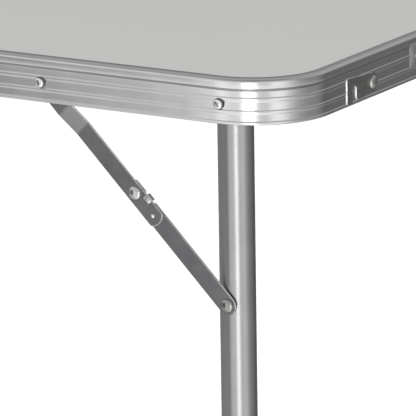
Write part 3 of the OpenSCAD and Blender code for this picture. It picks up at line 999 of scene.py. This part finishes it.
def hook():
    """Flat swivel plate, wider at the tip, with an open notch below: x runs to the tip (-Y), y is up."""
    r, w = 6.8, 9.3

    def edge(x):
        return -(r + (w - r) * x / HOOK_LEN)

    n0, n1, c = 23.7, 29.1, 1.6
    pts = [(-y, x) for x, y in arc(0, 0, r, range(0, 181, 9))]
    pts += [(n0 - 2.4, edge(n0 - 2.4)), (n0 - 1.2, edge(n0) + 0.7), (n0 - 0.4, edge(n0) + 1.9),
            (n0, edge(n0) + 3.4), (n0, 0)]
    pts += [(26.4 - x, y) for x, y in arc(0, 0, 2.7, range(15, 180, 15))]
    pts += [(n1, 0), (n1, edge(n1) + 0.9), (n1 + 0.25, edge(n1) + 0.25), (n1 + 0.9, edge(n1 + 0.9))]
    pts += arc(HOOK_LEN - c, -w + c, c, range(-90, 1, 15))
    pts += arc(HOOK_LEN - c, w - c, c, range(0, 91, 15))
    m = drawn_at(HOOK_X, -HOOK_Y, HOOK_Z, (0, -1, 0), (0, 0, 1), (1, 0, 0))
    # Thin bright rod along the top edge: painted highlight.
    edge_line = [(HOOK_LEN - 1.2, w - 0.15, 1.42), (26, 8.35, 1.42), (18, 7.75, 1.42), (13, 7.45, 1.36)]
    glint_line = rod("glint_line", edge_line, 0.2, M_GLINT, 8)
    return join("hook", [plate("hook", pts, STRIP_T, M_HOOK, 0.2, m, M_GLINT), moved(glint_line, m)])


hk = hook()
hk.visible_glossy = False
hk_b = copy_turned(hk, "hook_b_piece", TURN)
hk.name = "hook_a_piece"
place(hk, "hook_a", "hook_a")
place(hk_b, "hook_b", "hook_b")


def hook_rivet():
    """Round head over the hook, a base that holds it off the rim, and a rear head."""
    seat, base = HOOK_GAP + 1.7, HOOK_GAP - 0.2
    prof = dome(RIVET_R, 2.2, seat) + [(RIVET_R, seat + 0.1), (RIVET_R - 0.15, seat), (2.5, seat),
                                       (2.5, base)]
    prof += [(4.85, base), (5, base - 0.15), (5, 0), (2.5, 0)] + REAR_HEAD
    return moved(lathe("rivet", prof, ORIGIN, UP, M_BRIGHT, 56, cap=False), on_end(LEAF, -HOOK_Y, HOOK_Z))


both_leaves(hook_rivet(), "hook_rivet", "leaf", "hook_rivet")


def stud():
    g = HOOK_GAP
    prof = [(0.01, g + 4), (3.8, g + 4), (4.3, g + 3.8), (4.5, g + 3.4), (4.5, g + 2.8), (4.3, g + 2.5),
            (4, g + 2.4), (2.4, g + 2.4), (2.4, g - 0.2), (4.4, g - 0.2), (4.5, g - 0.28), (4.5, 0), (2.4, 0),
            (2.4, -1.8)]
    prof += REAR_HEAD[1:]
    return lathe("stud", prof, ORIGIN, UP, M_BRIGHT, 48, cap=False)


both_leaves(moved(stud(), on_end(LEAF, HOOK_Y, STUD_Z)), "latch_stud", "leaf", "latch_stud")

# ---------- handle ----------


def brackets():
    ear = GRIP_ARM + 5
    parts = []
    # base plate pressed with sloping sides, seen from outside: x along y, y up
    yc = -(ear + 1.5)
    m = drawn_at(LEAF, yc, GRIP_Z, (0, 1, 0), (0, 0, 1), (1, 0, 0))
    rings = []
    for inset, up in ((0, -0.4), (0, 0.05), (0.4, 0.3), (3.4, 1.35), (3.9, 1.48), (4.4, 1.5)):
        w, h, r = 13.5 - inset, 9 - inset, 2.2
        ring = []
        for cx, cy, a0 in ((w - r, h - r, 0), (-w + r, h - r, 90), (-w + r, -h + r, 180),
                           (w - r, -h + r, 270)):
            ring += [(x, y, up) for x, y in arc(cx, cy, r, range(a0, a0 + 91, 15))]
        rings.append(ring)
    verts, faces = sheet_of_rings(rings)
    parts.append(moved(fix_normals(finish_mesh("base", verts, faces, M_BRACKET, None, 35)), m))
    head = [(0.01, 1.2), (1.0, 1.1), (1.8, 0.75), (2.3, 0.2), (2.4, 0), (2.4, -0.1)]
    parts.append(moved(lathe("rv", head, ORIGIN, UP, M_BRIGHT, 32), on_end(LEAF + STRIP_T, yc - 5.5, GRIP_Z)))
    # pivot ear, a round lug standing out from the base
    lug = [(0.2, -7), (7, -7)] + arc(7, 0, 7, range(-80, 81, 10)) + [(7, 7), (0.2, 7)]
    m = drawn_at(LEAF, -ear, GRIP_Z, (1, 0, 0), (0, 0, 1), (0, -1, 0))
    parts.append(plate("lug", lug, 3, M_HOOK, 0.4, m))
    return parts


place(sides(brackets(), "handle_brackets_piece"), "leaf_a", "handle_brackets").visible_glossy = False


def bail():
    a = GRIP_ARM
    path = rounded([(GRIP_X, -a + 1, GRIP_Z), (GRIP_X, -a + 1, GRIP_Z - GRIP_DROP),
                    (GRIP_X, a - 1, GRIP_Z - GRIP_DROP), (GRIP_X, a - 1, GRIP_Z)], 9, 10)
    parts = [rod("bail", path, 3, M_BLACK, 28)]
    for s in (-1, 1):
        prof = [(0.01, 0), (3, 0), (3, 8), (4.4, 8), (5, 8.6), (5, 13.4), (4.4, 14), (0.01, 14)]
        parts.append(lathe("boss", prof, (GRIP_X, s * (a + 10), GRIP_Z), (0, -s, 0), M_BLACK, 40, cap=False))
    ln = a / 2
    prof = [(3, -ln - 18), (4.4, -ln - 17), (5.4, -ln - 14)]
    ridges = 18
    step = (2 * ln + 20) / ridges
    for i in range(ridges):
        y0 = -ln - 10 + (2 * ln + 20) * i / ridges
        prof += [(5.6, y0), (6.3, y0 + step * 0.25), (6.3, y0 + step * 0.7), (5.6, y0 + step * 0.95)]
    prof += [(5.4, ln + 14), (4.4, ln + 17), (3, ln + 18)]
    parts.append(lathe("grip", prof, (GRIP_X, 0, GRIP_Z - GRIP_DROP), (0, 1, 0), M_BLACK, 48, cap=False))
    return join("handle_piece", parts)


place(bail(), "handle", "handle").visible_glossy = False

# ---------- carried-over CAD nodes ----------

for name, mat in (("hinge_plates_a", M_HOOK), ("hinge_plates_b", M_HOOK), ("hinge_pins", M_BRIGHT)):
    obj = nodes[name]
    obj.data.materials.clear()
    obj.data.materials.append(mat)

# ---------- stage, light, camera ----------


def floor():
    mesh = bpy.data.meshes.new("floor")
    s = 30
    mesh.from_pydata([(-s, -s, 0), (s, -s, 0), (s, s, 0), (-s, s, 0)], [], [(0, 1, 2, 3)])
    n = Nodes("floor_paint", Roughness=0.9)
    n.bsdf.inputs["Specular IOR Level"].default_value = 0.1
    grain = n.noise(n.mapped(), 30, 2)
    n.colour(n.ramp(grain, [(0.3, 0.9), (0.7, 0.92)]))
    n.bsdf.inputs["Emission Color"].default_value = (1, 1, 1, 1)
    n.bsdf.inputs["Emission Strength"].default_value = 0.3
    mesh.materials.append(n.mat)
    o = bpy.data.objects.new("floor", mesh)
    scene.collection.objects.link(o)
    o.visible_glossy = False


floor()


def world():
    """Studio surroundings by compass direction: a tall soft light ahead, grey to the left, dark behind.

    Light levels run from 0 to SKY_STRENGTH. LOW_STOPS is the part low down and WORLD_STOPS the band
    round the horizon, both by compass angle. BACK_SKY and FRONT_SKY are the sky above, by height.
    """
    w = bpy.data.worlds.new("studio")
    scene.world = w
    w.use_nodes = True
    t = w.node_tree
    bg = t.nodes["Background"]
    coord = t.nodes.new("ShaderNodeTexCoord")
    sep = t.nodes.new("ShaderNodeSeparateXYZ")
    t.links.new(coord.outputs["Generated"], sep.inputs[0])
    neg = t.nodes.new("ShaderNodeMath")
    neg.operation = "MULTIPLY"
    neg.inputs[1].default_value = -1
    t.links.new(sep.outputs["Y"], neg.inputs[0])
    at = t.nodes.new("ShaderNodeMath")
    at.operation = "ARCTAN2"
    t.links.new(sep.outputs["X"], at.inputs[0])
    t.links.new(neg.outputs[0], at.inputs[1])
    mr = t.nodes.new("ShaderNodeMapRange")
    mr.inputs["From Min"].default_value = -math.pi
    mr.inputs["From Max"].default_value = math.pi
    t.links.new(at.outputs[0], mr.inputs["Value"])

    def ramp(stops, value, first=-180, span=360):
        """Grey levels at compass angles, or at heights with first=0 and span=1."""
        r = t.nodes.new("ShaderNodeValToRGB")
        els = r.color_ramp.elements
        while len(els) < len(stops):
            els.new(0.5)
        for e, (at_, v) in zip(els, stops):
            e.position = (at_ - first) / span
            e.color = (v / SKY_STRENGTH, v / SKY_STRENGTH, v / SKY_STRENGTH, 1)
        t.links.new(value, r.inputs["Fac"])
        return r.outputs["Color"]

    def blend(low, high, a, b):
        """From a to b as the direction's height goes from low to high."""
        m = t.nodes.new("ShaderNodeMapRange")
        m.inputs["From Min"].default_value = low
        m.inputs["From Max"].default_value = high
        t.links.new(sep.outputs["Z"], m.inputs["Value"])
        x = t.nodes.new("ShaderNodeMix")
        x.data_type = "RGBA"
        t.links.new(m.outputs["Result"], x.inputs["Factor"])
        t.links.new(a, x.inputs["A"])
        t.links.new(b, x.inputs["B"])
        return x.outputs["Result"]

    az = mr.outputs["Result"]
    z = sep.outputs["Z"]
    sky = t.nodes.new("ShaderNodeMix")
    sky.data_type = "RGBA"
    t.links.new(ramp([(-180, 0), (-105, 0), (-75, SKY_STRENGTH), (60, SKY_STRENGTH), (95, 0), (180, 0)], az),
                sky.inputs["Factor"])
    t.links.new(ramp(BACK_SKY, z, 0, 1), sky.inputs["A"])
    t.links.new(ramp(FRONT_SKY, z, 0, 1), sky.inputs["B"])
    level = blend(-0.06, 0.14, ramp(WORLD_STOPS, az), sky.outputs["Result"])
    t.links.new(blend(-0.44, -0.3, ramp(LOW_STOPS, az), level), bg.inputs["Color"])
    bg.inputs["Strength"].default_value = SKY_STRENGTH


SKY_STRENGTH = 4.0
WORLD_STOPS = [(-180, 0.2), (-150, 0.3), (-110, 0.34), (-60, 0.36), (-44, 0.18), (-33.6, 0.18), (-29.8, 0.98),
               (-18, 1.02), (-6, 0.84), (8, 0.84), (12, 1.6), (14.5, 3.4), (23.5, 3.4), (27, 1.5), (31, 0.78),
               (44, 0.7), (53, 1.06), (63, 1.1), (70, 0.95), (80, 0.62), (92, 0.42), (106, 0.3), (120, 0.28),
               (132, 0.22), (142, 0.13), (152, 0.155), (180, 0.2)]
LOW_STOPS = [(-180, 0.2), (-150, 0.3), (-60, 0.6), (-36, 0.74), (-31, 0.95), (-18, 1.05), (8, 1.0), (15, 2.2),
             (26, 2.2), (32, 1.0), (60, 1.05), (72, 0.95), (82, 0.75), (95, 0.54), (118, 0.46), (132, 0.42),
             (144, 0.3), (152, 0.2), (180, 0.2)]
BACK_SKY = [(0, 0.2), (0.25, 0.3), (0.5, 0.46), (0.75, 0.42), (0.9, 0.36), (1, 0.28)]
FRONT_SKY = [(0, 0.62), (0.3, 0.84), (0.5, 0.8), (0.7, 0.5), (0.83, 0.39), (1, 0.28)]
world()


def area(name, loc, target, size, watts):
    light = bpy.data.lights.new(name, "AREA")
    light.shape = "RECTANGLE"
    light.size, light.size_y = size
    light.energy = watts
    o = bpy.data.objects.new(name, light)
    scene.collection.objects.link(o)
    o.location = loc
    o.rotation_euler = (Vector(target) - Vector(loc)).to_track_quat("-Z", "Y").to_euler()
    o.visible_glossy = False
    o.visible_camera = False
    return o


area("top_light", (0.2, -0.4, 3.2), (0, 0, 0), (4.5, 4.5), 112)
area("front_light", (0.9, -3.2, 1.9), (0.1, 0, 0.3), (2.2, 2.6), 32)

cam_data = bpy.data.cameras.new("camera")
cam_data.sensor_width = 36
cam_data.lens = 379.73
cam_data.clip_end = 60
cam = bpy.data.objects.new("camera", cam_data)
scene.collection.objects.link(cam)
# the camera's right, up and backward directions, and its place in metres
R = (0.8583189378372794, 0.5128997967142347, -0.014913064084266485)
U = (-0.1151157670894317, 0.22080212493749218, 0.9685013070670064)
B = (0.5000369597512732, -0.8295662843640554, 0.24856149888733522)
C = (2.0211674096, -2.7615330929, 1.3466460105)
cam.matrix_world = Matrix([(*row, 0 if i < 3 else 1) for i, row in enumerate((R, U, B, C))]).transposed()
scene.camera = cam
scene.view_settings.view_transform = "Standard"
scene.view_settings.look = "None"
